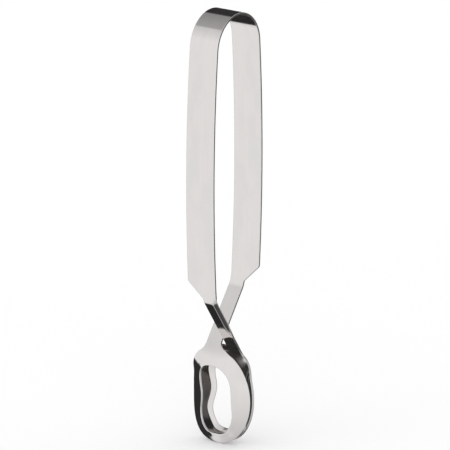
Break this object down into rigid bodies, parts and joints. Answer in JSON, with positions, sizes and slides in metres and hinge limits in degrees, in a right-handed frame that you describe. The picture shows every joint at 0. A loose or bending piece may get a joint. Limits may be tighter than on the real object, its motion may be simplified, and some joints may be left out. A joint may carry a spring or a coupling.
{
  "type": "snail tongs",
  "caption": "Spring tongs bent from one steel strip: a rounded bow, two arms and crossed necks with cupped ring jaws that open when the arms are squeezed.",
  "frame": {"origin": "below the middle of the closed jaws, level with their tips", "axes": "+Z from the jaw tips to the crown of the bow, +X from the left arm to the right arm, +Y across the strip, away from the viewer"},
  "size_m": [0.029, 0.0257, 0.16],
  "materials": {
    "bow_crown": "polished",
    "left_bow_shoulder": "polished",
    "right_bow_shoulder": "polished",
    "left_arm": "polished",
    "right_arm": "polished"
  },
  "bodies": {
    "crown": {"bow_crown": "bow_crown"},
    "right_shoulder": {"right_bow_shoulder": "right_bow_shoulder"},
    "left_shoulder": {"left_bow_shoulder": "left_bow_shoulder"},
    "right_arm_body": {"right_arm": "right_arm"},
    "left_arm_body": {"left_arm": "left_arm"}
  },
  "joints": [
    {"name": "right_haunch_flex", "type": "hinge", "parent": "crown", "child": "right_shoulder", "pos_m": [0.0087, 0, 0.156], "axis": [0, 1, 0], "range_deg": [0, 2.28], "stiffness_Nm_per_rad": 1.6},
    {"name": "right_arm_flex", "type": "hinge", "parent": "right_shoulder", "child": "right_arm_body", "pos_m": [0.01341, 0, 0.1303], "axis": [0, 1, 0], "range_deg": [0, 3.72], "stiffness_Nm_per_rad": 1},
    {"name": "left_haunch_flex", "type": "hinge", "parent": "crown", "child": "left_shoulder", "pos_m": [-0.0087, 0, 0.156], "axis": [0, -1, 0], "range_deg": [0, 2.28], "stiffness_Nm_per_rad": 1.6},
    {"name": "left_arm_flex", "type": "hinge", "parent": "left_shoulder", "child": "left_arm_body", "pos_m": [-0.01341, 0, 0.1303], "axis": [0, -1, 0], "range_deg": [0, 3.72], "stiffness_Nm_per_rad": 1}
  ],
  "couplings": [
    {"joint": "left_arm_flex", "follows": "right_arm_flex", "ratio": 1},
    {"joint": "right_haunch_flex", "follows": "right_arm_flex", "ratio": 0.612},
    {"joint": "left_haunch_flex", "follows": "right_arm_flex", "ratio": 0.612}
  ]
}
